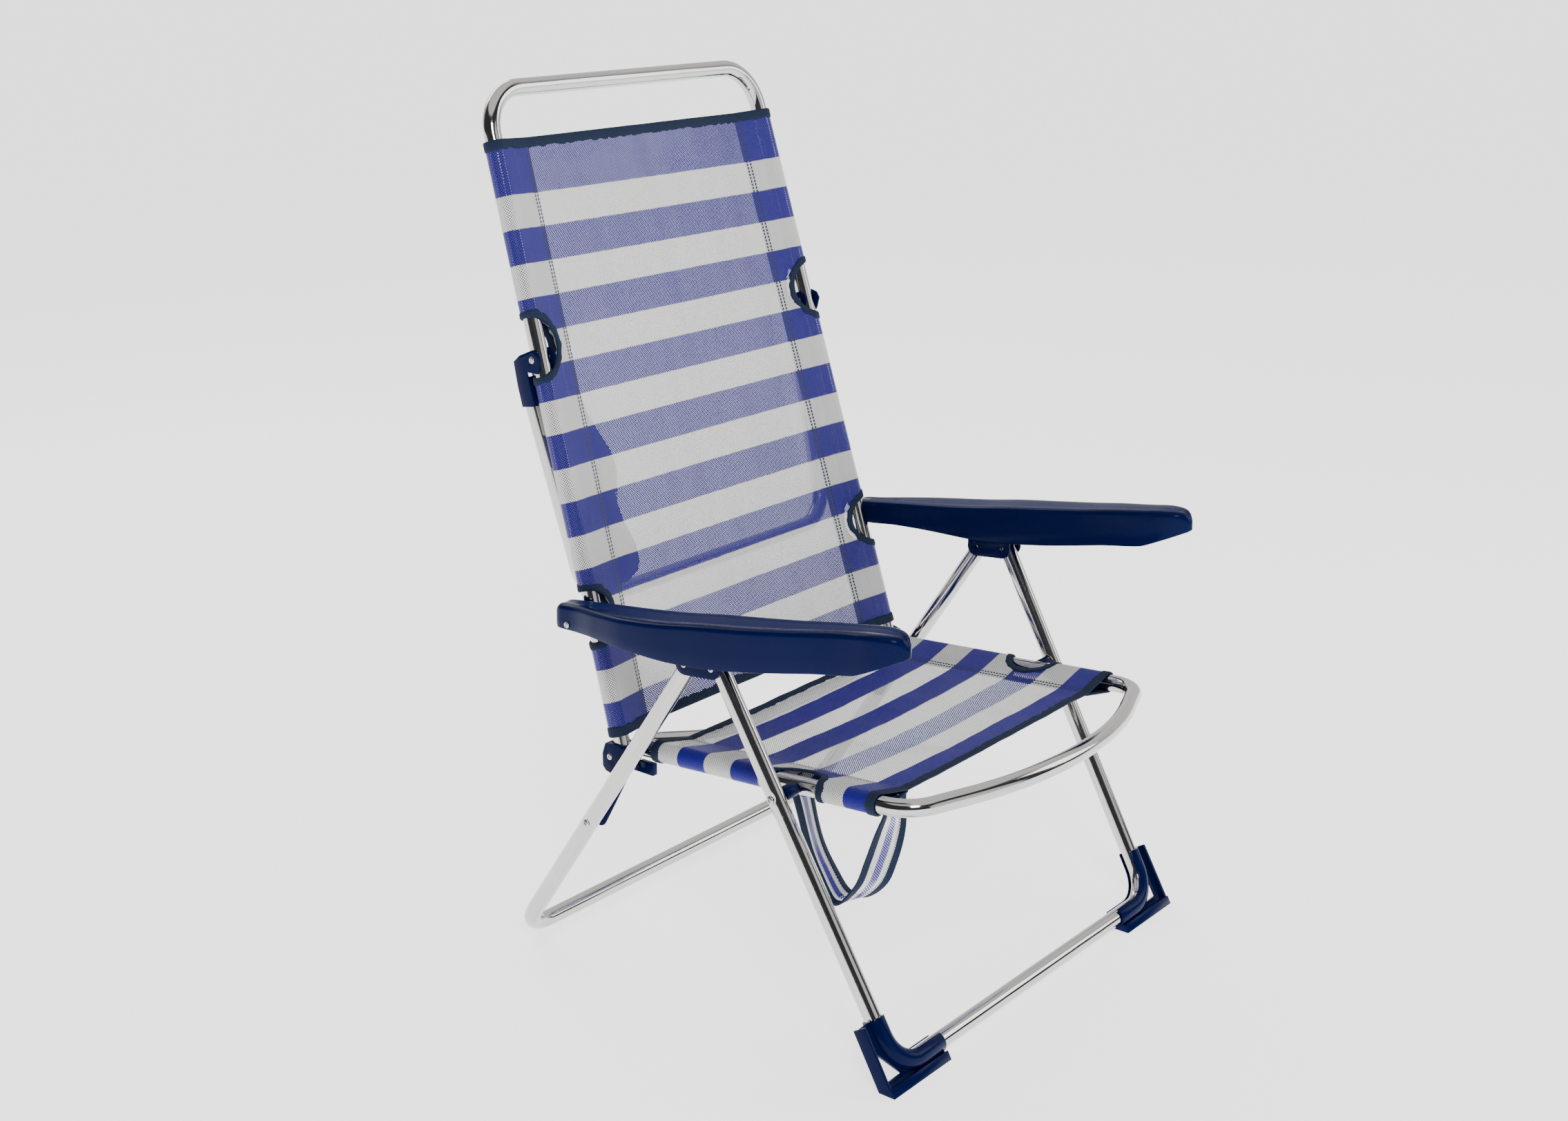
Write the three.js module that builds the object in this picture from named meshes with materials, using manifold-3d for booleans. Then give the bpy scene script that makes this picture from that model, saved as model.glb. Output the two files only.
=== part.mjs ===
// Folding high-back beach chair: aluminium tube frame, mesh seat and back, plastic armrests.
// Millimetres. +Z up, the sitter faces -Y, right-hand parts (the sitter's right) are at -X.
// Side-view sizes are written as (y, z) with y measured from the recline hinge line's datum,
// and SHIFT_Y moves the finished chair so that its origin is the middle of its footprint.
import * as THREE from 'three';
import { mergeVertices } from 'three/addons/utils/BufferGeometryUtils.js';
import Module from 'manifold-3d';

const wasm = await Module();
wasm.setup();

// ---- driving dimensions ----
const SHIFT_Y = 92.0;
const TUBE_R = 10;
const TUBE_BORE_R = 8.6;
const RIVET_R = 3;
const RIVET_GAP = 0.08;
const CLEAR = 0.5;

const SEAT = {
  halfWidth: 232.6, frontY: -323.7, frontZ: 295.0, rearY: -13.6, rearZ: 273.6, bowY: -422, rearDip: 14,
};
const BACK = {
  topY: 219.92, topZ: 937.73, botY: 26.59, botZ: 290.65, topHalf: 230, botHalf: 253, footZ: 275,
};
const HINGE = { y: 30, z: 266 };
const FRONT_LEG = { y: -365.6, z: 30, slope: 0.5698, botHalf: 264.4, topHalf: 277.8, barZ: 14.2 };
const REAR_LEG = { y: -105.2, z: 416.1, slope: -0.6663, botHalf: 286, topHalf: 277.6, barZ: 10 };
const HUB_FRONT = { y: -143.5, z: 419.7 };
const HUB_REAR = { y: -105.2, z: 416.1 };
const SEAT_PIVOT = { y: -218, z: 287 };
const LINK_TOP = { y: 8, z: 257 };
const LINK_LOW = { y: 46, z: 188 };
const ARM_PIN = { y: 67, z: 423 };
const BED_PIN = { y: 150.4, z: 705 };
const CLOTH_T = 1.2;
const CLOTH_GAP = 0.6;

const NAVY = 0x14294f;
const METAL = 0xc9ccd0;
const CLOTH = 0x8f93c8;
const STEEL = 0xb8babd;

// ---- helpers ----
const backSlope = (BACK.topY - BACK.botY) / (BACK.topZ - BACK.botZ);
const backLength = Math.hypot(BACK.topY - BACK.botY, BACK.topZ - BACK.botZ);
const backY = (z) => BACK.botY + backSlope * (z - BACK.botZ);
const backHalf = (z) => {
  const t = (z - BACK.botZ) / (BACK.topZ - BACK.botZ);
  return BACK.botHalf + (BACK.topHalf - BACK.botHalf) * t;
};
const seatZ = (y) => {
  const slope = (SEAT.frontZ - SEAT.rearZ) / (SEAT.frontY - SEAT.rearY);
  return SEAT.rearZ + slope * (y - SEAT.rearY);
};
const frontLegY = (z) => FRONT_LEG.y + FRONT_LEG.slope * (z - FRONT_LEG.z);
const frontLegHalf = (z) => {
  const t = (z - FRONT_LEG.barZ) / (HUB_FRONT.z - FRONT_LEG.barZ);
  return FRONT_LEG.botHalf + (FRONT_LEG.topHalf - FRONT_LEG.botHalf) * t;
};
const rearLegY = (z) => REAR_LEG.y + REAR_LEG.slope * (z - REAR_LEG.z);
const rearLegHalf = (z) => {
  const t = (z - REAR_LEG.barZ) / (HUB_REAR.z - REAR_LEG.barZ);
  return REAR_LEG.botHalf + (REAR_LEG.topHalf - REAR_LEG.botHalf) * t;
};

// A path through given points, swept exactly at those points.
class PointPath extends THREE.Curve {
  constructor(points) {
    super();
    this.points = points;
  }

  getPoint(t, target = new THREE.Vector3()) {
    const index = Math.round(t * (this.points.length - 1));
    return target.copy(this.points[index]);
  }

  getPointAt(t, target) {
    return this.getPoint(t, target);
  }

  getTangent(t, target = new THREE.Vector3()) {
    const last = this.points.length - 1;
    const index = Math.round(t * last);
    const before = this.points[Math.max(index - 1, 0)];
    const after = this.points[Math.min(index + 1, last)];
    const here = this.points[index];
    const back = here.clone().sub(before).normalize();
    const ahead = after.clone().sub(here).normalize();
    return target.copy(back.add(ahead).normalize());
  }

  getTangentAt(t, target) {
    return this.getTangent(t, target);
  }
}

// Corner points of an open polyline rounded to the given radii.
function rounded(corners, radii, steps = 7) {
  const points = [corners[0].clone()];
  for (let i = 1; i < corners.length - 1; i += 1) {
    const a = corners[i - 1].clone().sub(corners[i]).normalize();
    const b = corners[i + 1].clone().sub(corners[i]).normalize();
    const half = Math.acos(THREE.MathUtils.clamp(a.dot(b), -1, 1)) / 2;
    const radius = radii[i - 1];
    const reach = radius / Math.tan(half);
    const centre = a.clone().add(b).normalize().multiplyScalar(radius / Math.sin(half));
    const start = a.clone().multiplyScalar(reach).sub(centre);
    const end = b.clone().multiplyScalar(reach).sub(centre);
    const sweep = Math.PI - 2 * half;
    for (let k = 0; k <= steps; k += 1) {
      const t = k / steps;
      const from = start.clone().multiplyScalar(Math.sin((1 - t) * sweep) / Math.sin(sweep));
      const to = end.clone().multiplyScalar(Math.sin(t * sweep) / Math.sin(sweep));
      points.push(corners[i].clone().add(centre).add(from).add(to));
    }
  }
  points.push(corners[corners.length - 1].clone());
  return points;
}

const v3 = (x, y, z) => new THREE.Vector3(x, y, z);

function ringShape(outer, inner, sides = 18, boreSides = 10) {
  const shape = new THREE.Shape();
  const at = (r, k, n) => [r * Math.cos((2 * Math.PI * k) / n), r * Math.sin((2 * Math.PI * k) / n)];
  shape.setFromPoints(
    Array.from({ length: sides }, (_, k) => new THREE.Vector2(...at(outer, k, sides))),
  );
  if (inner) {
    const hole = new THREE.Path();
    hole.setFromPoints(
      Array.from({ length: boreSides }, (_, k) => new THREE.Vector2(...at(inner, -k, boreSides))),
    );
    shape.holes.push(hole);
  }
  return shape;
}

function sweep(points, outer, inner, sides, boreSides) {
  return new THREE.ExtrudeGeometry(ringShape(outer, inner, sides, boreSides), {
    steps: points.length - 1, bevelEnabled: false, extrudePath: new PointPath(points),
  });
}

const tube = (points) => sweep(points, TUBE_R, TUBE_BORE_R);

// A (y, z) outline pushed along X from x0 to x1.
function slab(outline, x0, x1, holes = []) {
  const shape = new THREE.Shape(outline.map(([y, z]) => new THREE.Vector2(y, z)));
  holes.forEach((hole) => {
    shape.holes.push(new THREE.Path(hole.map(([y, z]) => new THREE.Vector2(y, z))));
  });
  const geometry = new THREE.ExtrudeGeometry(shape, {
    depth: x1 - x0, steps: 1, bevelEnabled: false, curveSegments: 8,
  });
  const basis = new THREE.Matrix4().makeBasis(v3(0, 1, 0), v3(0, 0, 1), v3(1, 0, 0));
  geometry.applyMatrix4(basis);
  return geometry.translate(x0, 0, 0);
}

function box(x0, x1, y0, y1, z0, z1) {
  return slab([[y0, z0], [y1, z0], [y1, z1], [y0, z1]], x0, x1);
}

// A round bar along X.
function rod(x0, x1, at, radius, sides = 20) {
  const outline = Array.from({ length: sides }, (_, k) => {
    const angle = (2 * Math.PI * k) / sides;
    return [at.y + radius * Math.cos(angle), at.z + radius * Math.sin(angle)];
  });
  return slab(outline, x0, x1);
}

// Outline of two discs joined by their common tangents.
function linkOutline(a, b, ra, rb, sides = 9) {
  const turn = Math.atan2(b.z - a.z, b.y - a.y);
  const lean = Math.acos((ra - rb) / Math.hypot(b.y - a.y, b.z - a.z));
  const points = [];
  for (let k = 0; k <= sides; k += 1) {
    const angle = turn + lean + ((2 * Math.PI - 2 * lean) * k) / sides;
    points.push([a.y + ra * Math.cos(angle), a.z + ra * Math.sin(angle)]);
  }
  for (let k = 0; k <= sides; k += 1) {
    const angle = turn - lean + (2 * lean * k) / sides;
    points.push([b.y + rb * Math.cos(angle), b.z + rb * Math.sin(angle)]);
  }
  return points;
}

function toSolid(geometry) {
  const bare = geometry.clone();
  bare.deleteAttribute('normal');
  bare.deleteAttribute('uv');
  const merged = mergeVertices(bare, 1e-4);
  return new wasm.Manifold(new wasm.Mesh({
    numProp: 3,
    vertProperties: new Float32Array(merged.attributes.position.array),
    triVerts: new Uint32Array(merged.index.array),
  }));
}

function toGeometry(solid) {
  const data = solid.getMesh();
  const geometry = new THREE.BufferGeometry();
  geometry.setAttribute('position', new THREE.BufferAttribute(data.vertProperties, 3));
  geometry.setIndex(new THREE.BufferAttribute(data.triVerts, 1));
  return geometry;
}

const cut = (body, ...tools) => toGeometry(
  tools.reduce((solid, tool) => solid.subtract(toSolid(tool)), toSolid(body)),
);
const join = (...parts) => toGeometry(
  parts.slice(1).reduce((solid, part) => solid.add(toSolid(part)), toSolid(parts[0])),
);

function mirrored(geometry) {
  const plain = geometry.index ? geometry.toNonIndexed() : geometry.clone();
  plain.scale(-1, 1, 1);
  const { array } = plain.attributes.position;
  for (let i = 0; i < array.length; i += 9) {
    for (let k = 0; k < 3; k += 1) {
      [array[i + k], array[i + 3 + k]] = [array[i + 3 + k], array[i + k]];
    }
  }
  return plain;
}

const chair = new THREE.Group();
chair.name = 'beach_chair';

function add(name, geometry, color, metalness = 0) {
  const bare = geometry.clone();
  bare.deleteAttribute('uv');
  bare.deleteAttribute('normal');
  const placed = mergeVertices(bare, 1e-4).translate(0, SHIFT_Y, 0);
  placed.computeVertexNormals();
  const roughness = metalness ? 0.3 : 0.6;
  const material = new THREE.MeshStandardMaterial({ color, metalness, roughness });
  const mesh = new THREE.Mesh(placed, material);
  mesh.name = name;
  chair.add(mesh);
}

function addPair(name, geometry, color, metalness = 0) {
  add(`${name}_left`, geometry, color, metalness);
  add(`${name}_right`, mirrored(geometry), color, metalness);
}

// Hole for a rivet, cut through both sides of a frame.
const hole = (at, x0 = 200, x1 = 330, radius = RIVET_R + RIVET_GAP) => [
  rod(x0, x1, at, radius, 14), rod(-x1, -x0, at, radius, 14),
];

// Rivet from x0 to x1 with a domed head on its outer end.
function rivet(at, x0, x1, headR = 5, headH = 1.4) {
  const profile = [
    new THREE.Vector2(0, 0), new THREE.Vector2(RIVET_R, 0),
    new THREE.Vector2(RIVET_R, x1 - x0), new THREE.Vector2(headR, x1 - x0),
    new THREE.Vector2(headR * 0.8, x1 - x0 + headH * 0.7),
    new THREE.Vector2(headR * 0.4, x1 - x0 + headH),
    new THREE.Vector2(0, x1 - x0 + headH),
  ];
  const geometry = new THREE.LatheGeometry(profile, 14);
  geometry.rotateZ(-Math.PI / 2);
  return geometry.translate(x0, at.y, at.z);
}

// ---- seat frame ----
function seatFront() {
  const z = (y) => seatZ(y);
  const at = (x, y) => v3(x, y, z(y));
  const w = SEAT.halfWidth;
  const corners = [at(w, -30), at(w, -362), at(110, -411), at(0, SEAT.bowY)];
  const left = [at(-110, -411), at(-w, -362), at(-w, -30)];
  const points = rounded([...corners, ...left], [45, 400, 400, 400, 45]);
  return cut(tube(points), ...hole(SEAT_PIVOT, 215, 250));
}

function seatRear() {
  const w = SEAT.halfWidth;
  const at = (x, y, dip = 0) => v3(x, y, seatZ(y) - dip);
  const middle = [at(130, -21, SEAT.rearDip), at(-130, -21, SEAT.rearDip)];
  const corners = [at(w, -29.6), at(w, 44), ...middle, at(-w, 44), at(-w, -29.6)];
  return tube(rounded(corners, [22, 120, 120, 22], 8));
}

// Sleeved mesh panel: a flat skin at the tubes' own level, with a sleeve round each tube.
function sleevedPanel(halfStart, halfEnd, length) {
  const inner = TUBE_R + CLOTH_GAP;
  const outer = inner + CLOTH_T;
  const sides = 20;
  const lean = Math.asin(CLOTH_T / 2 / outer);
  const arc = (cx, r, from, to) => Array.from({ length: sides + 1 }, (_, k) => {
    const angle = from + ((to - from) * k) / sides;
    return new THREE.Vector2(cx + r * Math.cos(angle), r * Math.sin(angle));
  });
  const outline = [
    ...arc(-halfStart, outer, lean, 2 * Math.PI - lean),
    ...arc(halfStart, outer, Math.PI + lean, 3 * Math.PI - lean),
  ];
  const shape = new THREE.Shape(outline);
  [-halfStart, halfStart].forEach((cx) => {
    shape.holes.push(new THREE.Path(arc(cx, inner, 0, -2 * Math.PI).slice(0, sides)));
  });
  const panel = new THREE.ExtrudeGeometry(shape, { depth: length, steps: 1, bevelEnabled: false });
  const place = panel.attributes.position;
  for (let i = 0; i < place.count; i += 1) {
    const grow = ((halfEnd - halfStart) * place.getZ(i)) / length;
    const reach = THREE.MathUtils.clamp(place.getX(i) / (halfStart - 30), -1, 1);
    place.setX(i, place.getX(i) + grow * reach);
  }
  return panel;
}

// Scallop cut that bares the tube: an oval prism across the panel's side edge.
function scallop(centre, reach, half) {
  const sides = 22;
  const shape = new THREE.Shape(Array.from({ length: sides }, (_, k) => {
    const angle = (2 * Math.PI * k) / sides;
    return new THREE.Vector2(reach * Math.cos(angle), half * Math.sin(angle));
  }));
  const prism = new THREE.ExtrudeGeometry(shape, { depth: 60, steps: 1, bevelEnabled: false });
  prism.rotateX(Math.PI / 2);
  return prism.translate(centre.x, 30, centre.s);
}

function panelWithScallops(halfStart, halfEnd, length, cuts) {
  const tools = cuts.flatMap(({ s, half }) => {
    const x = halfStart + ((halfEnd - halfStart) * s) / length + 14;
    return [scallop({ x, s }, 56, half), scallop({ x: -x, s }, 56, half)];
  });
  return cut(sleevedPanel(halfStart, halfEnd, length), ...tools);
}

function backCloth() {
  const panel = panelWithScallops(BACK.topHalf, BACK.botHalf, backLength, [
    { s: 0.34 * backLength, half: 36 }, { s: 0.795 * backLength, half: 33 },
  ]);
  const down = v3(0, BACK.botY - BACK.topY, BACK.botZ - BACK.topZ).normalize();
  const front = v3(1, 0, 0).cross(down).negate();
  panel.applyMatrix4(new THREE.Matrix4().makeBasis(v3(1, 0, 0), front, down));
  return panel.translate(0, BACK.topY, BACK.topZ);
}

function seatCloth() {
  const length = Math.hypot(SEAT.frontY - SEAT.rearY, SEAT.frontZ - SEAT.rearZ);
  const panel = panelWithScallops(SEAT.halfWidth, SEAT.halfWidth, length, [
    { s: length - (SEAT.rearY + 217) / 1.0024, half: 36 },
  ]);
  const rearward = v3(0, SEAT.rearY - SEAT.frontY, SEAT.rearZ - SEAT.frontZ).normalize();
  const up = v3(1, 0, 0).cross(rearward);
  panel.applyMatrix4(new THREE.Matrix4().makeBasis(v3(-1, 0, 0), up, rearward));
  return panel.translate(0, SEAT.frontY, SEAT.frontZ);
}

function carryStrap() {
  const outer = [[-190, 284.8], [-197, 258], [-214, 206], [-236, 170], [-250, 155], [-260, 152.5],
    [-272, 157], [-292, 180], [-304, 210], [-313, 240], [-320.6, 270], [-322, 293.6]];
  const innerSide = [[-319.6, 293.4], [-318.2, 270.4], [-310.8, 240.8], [-301.8, 211], [-290, 181.4],
    [-270.6, 159.2], [-260, 155], [-251.2, 157.2], [-238, 171.4], [-216.3, 207], [-199.4, 258.6],
    [-192.6, 284.9]];
  return slab([...outer, ...innerSide], -219, -181);
}

function seatHingeBracket() {
  const outline = [[-14, 246], [41, 246], [42.5, 258], [41, 276], [36, 279], [27.5, 277], [26.5, 260.2],
    [-14, 260.2]];
  const block = slab(outline, 235.6, 242.9);
  const pins = [rod(225, 250, HINGE, RIVET_R + RIVET_GAP, 14)];
  pins.push(rod(225, 250, LINK_TOP, RIVET_R + RIVET_GAP, 14));
  pins.push(box(225, 250, -20, 26, 259.9, 261));
  return cut(block, ...pins);
}

// ---- backrest ----
function backTube() {
  const up = v3(0, BACK.topY - BACK.botY, BACK.topZ - BACK.botZ).normalize();
  const foot = (s) => v3(s * backHalf(BACK.footZ), backY(BACK.footZ), BACK.footZ);
  const shoulder = (s) => {
    const z = BACK.topZ + up.z * 57.5;
    return v3(s * backHalf(z), backY(z), z);
  };
  const points = rounded([foot(1), shoulder(1), shoulder(-1), foot(-1)], [52, 52], 10);


  return cut(tube(points), ...hole(BED_PIN), ...hole(ARM_PIN));
}

// Plastic cap on the end of the back tube, with the recline hinge in its foot.
function backHingeCap() {
  const outline = [[19.5, 283], [9.2, 280], [10.4, 262], [12.7, 256], [15.9, 251.9], [20, 248.7],
    [25, 246.6], [30, 246], [37, 247.6], [41.5, 253], [41.5, 268], [37, 281]];
  const body = slab(outline, 243.6, 266.6);
  const up = v3(0, BACK.topY - BACK.botY, BACK.topZ - BACK.botZ).normalize();
  const base = v3(backHalf(BACK.footZ), backY(BACK.footZ), BACK.footZ);
  const socket = [base.clone().addScaledVector(up, -1.5), base.clone().addScaledVector(up, 60)];
  const clearTube = sweep(socket, TUBE_R + 0.5, 0, 18);
  return cut(body, clearTube, rod(240, 262, HINGE, RIVET_R + RIVET_GAP, 14),
    rod(261, 270, HINGE, RIVET_R + RIVET_GAP, 14));
}

// ---- bed leg that swings out behind the back ----
const BED_TOP = { half: 238.3, y: 165.2, z: 657 };
const BED_LOW = { half: 221, y: 103, z: 424 };

function bedLegTube() {
  const top = (s) => v3(s * BED_TOP.half, BED_TOP.y, BED_TOP.z);
  const low = (s) => v3(s * BED_LOW.half, BED_LOW.y, BED_LOW.z);
  return tube(rounded([top(1), low(1), low(-1), top(-1)], [45, 45], 8));
}

// Two cheeks either side of the back tube, joined by a web above the bed leg's end.
function bedLegBracket() {
  const outline = [[180, 699.5], [170, 708], [150, 716.5], [141, 714], [136.5, 707], [139.5, 695],
    [145, 683], [146, 668], [149, 652], [168, 649], [175, 674]];
  const body = slab(outline, 224.9, 251.6);
  const webTop = [[150.4, 730], [100, 730], [100, 640], [143, 640], [156.2, 686.5], [200, 659.5],
    [200, 730]];
  const between = slab(webTop, 226.8, 248.9);
  const sleeveRoom = slab([[100, 630], [142, 630], [159.4, 690], [100, 690]], 215, 260);
  const top = v3(BED_TOP.half, BED_TOP.y, BED_TOP.z);
  const low = v3(BED_LOW.half, BED_LOW.y, BED_LOW.z);
  const along = low.clone().sub(top).normalize();
  const socket = [top.clone().addScaledVector(along, -0.6), top.clone().addScaledVector(along, 40)];
  const legRoom = sweep(socket, TUBE_R + 0.4, 0, 18);
  const pinHole = rod(220, 256, BED_PIN, RIVET_R + RIVET_GAP, 14);
  return cut(body, between, sleeveRoom, legRoom, pinHole);
}

// ---- armrest: moulded shell, hollow beneath ----
// Each section: y, inner x, outer x, bottom z, top z.
const ARM_SECTIONS = [
  [87, 263.5, 288, 418.5, 441], [84, 261.4, 290, 418, 443.2], [60, 261.4, 292.5, 421, 446.5],
  [15, 261.4, 304, 423, 452], [-40, 261.4, 314.5, 423.5, 458.5], [-91, 261.4, 317, 424, 465.5],
  [-140, 261.4, 317, 427.5, 474], [-200, 261.4, 315.5, 436, 483], [-250, 261.4, 312.5, 445.5, 491],
  [-292, 261.4, 309.5, 454, 498.5], [-340, 261.6, 305.5, 462.2, 506], [-352, 261.9, 305.6, 467.2, 508],
  [-365, 263, 304.4, 473.2, 509.4], [-376, 265.8, 301.6, 478.3, 509.8], [-383, 269, 298.4, 481.6, 509.2],
  [-388, 272.6, 294.8, 483.9, 507.4], [-391.5, 276, 291.4, 485.5, 503.4], [-394, 279.6, 287.8, 486.6, 497.5],
  [-395.2, 282.2, 285.2, 488.2, 492.5],
];

function loft(sections) {
  const n = sections[0].length;
  const positions = sections.flat().flatMap((p) => [p.x, p.y, p.z]);
  const index = [];
  for (let i = 0; i < sections.length - 1; i += 1) {
    for (let k = 0; k < n; k += 1) {
      const a = i * n + k;
      const b = i * n + ((k + 1) % n);
      index.push(a, b, a + n, b, b + n, a + n);
    }
  }
  const last = (sections.length - 1) * n;
  for (let k = 1; k < n - 1; k += 1) {
    index.push(0, k + 1, k);
    index.push(last, last + k, last + k + 1);
  }
  const geometry = new THREE.BufferGeometry();
  geometry.setAttribute('position', new THREE.Float32BufferAttribute(positions, 3));
  geometry.setIndex(index);
  return geometry;
}

// Rounded box outline in a plane of constant y; edge radii differ above and below.
function armSection([y, x0, x1, z0, z1]) {
  const r = Math.min(7, (z1 - z0) * 0.3, (x1 - x0) * 0.3);
  const points = [];
  const corner = (cx, cz, radius, from) => {
    for (let k = 0; k <= 3; k += 1) {
      const angle = from + (k * Math.PI) / 6;
      points.push(v3(cx + radius * Math.cos(angle), y, cz + radius * Math.sin(angle)));
    }
  };
  const s = Math.min(2, r);
  corner(x0 + s, z0 + s, s, Math.PI);
  corner(x1 - s, z0 + s, s, 1.5 * Math.PI);
  corner(x1 - r, z1 - r, r, 0);
  corner(x0 + r, z1 - r, r, Math.PI / 2);
  return points;
}

function armrest() {
  const shell = loft(ARM_SECTIONS.map(armSection));
  const hollow = slab([[-79, 400], [-79, 461], [-140, 470], [-200, 479.5], [-250, 487], [-292, 494],
    [-328, 499.5], [-332, 494], [-332, 440], [-300, 400]].reverse(), 263.6, 300.5);
  const rearHollow = slab([[-74, 400], [-74, 457.5], [10, 448.5], [48, 443.5], [48, 400]].reverse(),
    264, 287);
  return cut(shell, hollow, rearHollow, rod(255, 300, ARM_PIN, RIVET_R + RIVET_GAP, 14));
}

// ---- hub that joins the two legs under the armrest ----
function hub() {
  const plate = (x0, x1) => slab(linkOutline(HUB_FRONT, HUB_REAR, 12, 12), x0, x1);
  const web = slab([[-160, 434.6], [-93.5, 430.4], [-93.5, 433.8], [-160, 438]], 264.4, 291.2);
  const rise = (x0, x1) => slab([[-155, 422], [-93.5, 418], [-93.5, 431.5], [-155, 435.5]], x0, x1);
  const body = join(plate(264.4, 266.8), rise(264.4, 266.8), web, plate(288.8, 291.2),
    rise(288.8, 291.2));
  return cut(body, rod(255, 300, HUB_FRONT, RIVET_R + RIVET_GAP, 14),
    rod(255, 300, HUB_REAR, RIVET_R + RIVET_GAP, 14));
}

// ---- legs ----
function frontLegPoints() {
  const at = (s, z) => v3(s * frontLegHalf(z), frontLegY(z), z);
  const topZ = HUB_FRONT.z + 4.5;
  const bar = FRONT_LEG.barZ;
  return rounded([at(1, topZ), at(1, bar), at(-1, bar), at(-1, topZ)], [40, 40], 8);
}

const frontLegTube = () => cut(tube(frontLegPoints()), ...hole(HUB_FRONT), ...hole(SEAT_PIVOT));

function rearLegTube() {
  const at = (s, z) => v3(s * rearLegHalf(z), rearLegY(z), z);
  const topZ = HUB_REAR.z + 4.5;
  const bar = REAR_LEG.barZ;
  const points = rounded([at(1, topZ), at(1, bar), at(-1, bar), at(-1, topZ)], [48, 48], 8);
  return cut(tube(points), ...hole(HUB_REAR), ...hole(LINK_LOW));
}

// Clip-on foot: channel round the outside of the tube's bend, square corner web with a window, flat sole.
function foot() {
  const up = v3(0, FRONT_LEG.slope, 1).normalize();
  const ahead = v3(1, 0, 0).cross(up);
  const origin = v3(0, frontLegY(FRONT_LEG.barZ), FRONT_LEG.barZ);
  const place = new THREE.Matrix4().makeBasis(v3(1, 0, 0), up, ahead).setPosition(origin);
  const flat = (outline, n, holes = []) => {
    const shape = new THREE.Shape(outline.map(([x, v]) => new THREE.Vector2(x, v)));
    holes.forEach((h) => shape.holes.push(new THREE.Path(h.map(([x, v]) => new THREE.Vector2(x, v)))));
    const plate = new THREE.ExtrudeGeometry(shape, { depth: 2 * n, steps: 1, bevelEnabled: false });
    return plate.translate(0, 0, -n).applyMatrix4(place);
  };
  const path = frontLegPoints();
  const bend = path.slice(1, 10).map((p) => p.clone());
  const high = path[0].clone().sub(bend[0]).normalize();
  const local = (x, v) => v3(x, v, 0).applyMatrix4(place);
  const start = bend[0].clone().addScaledVector(high, 21);
  const end = local(188, 0);
  const sleeve = sweep([start, ...bend, end], TUBE_R + 2.6, 0, 20);
  const above = start.clone().addScaledVector(high, 5);
  const bore = sweep([above, start, ...bend, end, local(180, 0)], TUBE_R + 0.35, 0, 18);
  const window = [[284, 28], [284, -5], [258, -5]];
  const web = flat([[188, -24], [292.5, -24], [292.5, 58], [270, 60], [266, 40], [261, 22], [252, 10],
    [240, 3], [224, 0], [188, 0]], 2.2, [window]);
  const sideRim = flat([[289, -24], [292.5, -24], [292.5, 58], [289, 58]], 8);
  const sole = flat([[188, -24], [292.5, -24], [292.5, -11.5], [188, -11.5]], 10);
  const body = join(sleeve, web, sideRim, sole);
  const inside = Array.from({ length: 8 }, (_, k) => {
    const angle = ((k - 7) * Math.PI) / 14;
    return [225.5 + 37 * Math.cos(angle), 40 + 37 * Math.sin(angle)];
  });
  const slot = flat([[180, 3], ...inside, [263.5, 90], [180, 90]], 8);
  return cut(toGeometry(toSolid(body)), bore, slot, box(150, 320, -500, -250, -40, 0));
}

// ---- links between the seat and the rear legs ----
const link = () => cut(slab(linkOutline(LINK_TOP, LINK_LOW, 10.5, 10.5), 267.3, 269.7),
  rod(260, 280, LINK_TOP, RIVET_R + RIVET_GAP, 14), rod(260, 280, LINK_LOW, RIVET_R + RIVET_GAP, 14));

function spacer() {
  return cut(rod(243.1, 262.6, SEAT_PIVOT, 8.2, 24),
    rod(240, 270, SEAT_PIVOT, RIVET_R + RIVET_GAP, 14));
}

add('seat_frame_front', seatFront(), METAL, 1);
add('seat_frame_rear', seatRear(), METAL, 1);
add('seat_cloth', seatCloth(), CLOTH);
add('carry_strap', carryStrap(), NAVY);
addPair('seat_hinge_bracket', seatHingeBracket(), NAVY);
addPair('seat_spacer', spacer(), NAVY);
addPair('seat_pivot_rivet', rivet(SEAT_PIVOT, 223.5, 284, 4.6), STEEL, 1);
addPair('recline_rivet', rivet(HINGE, 235.8, 266.7, 4.6), STEEL, 1);
add('back_frame', backTube(), METAL, 1);
add('back_cloth', backCloth(), CLOTH);
addPair('back_hinge_cap', backHingeCap(), NAVY);
addPair('armrest_rivet', rivet(ARM_PIN, 239.5, 292.5, 4.6), STEEL, 1);
add('bed_leg_frame', bedLegTube(), METAL, 1);
addPair('bed_leg_bracket', bedLegBracket(), NAVY);
addPair('bed_leg_rivet', rivet(BED_PIN, 224.5, 251.7, 4.6), STEEL, 1);
addPair('armrest', armrest(), NAVY);
addPair('hub', hub(), NAVY);
addPair('hub_front_rivet', rivet(HUB_FRONT, 264.6, 291.3, 4.6), STEEL, 1);
addPair('hub_rear_rivet', rivet(HUB_REAR, 264.6, 291.3, 4.6), STEEL, 1);
add('front_leg_frame', frontLegTube(), METAL, 1);
addPair('front_foot', foot(), NAVY);
add('rear_leg_frame', rearLegTube(), METAL, 1);
addPair('link', link(), NAVY);
addPair('link_low_rivet', rivet(LINK_LOW, 270.7, 292.6, 4.6), STEEL, 1);
addPair('link_top_rivet', rivet(LINK_TOP, 235.8, 269.8, 4.6, 0.6), STEEL, 1);

export default chair;
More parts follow.
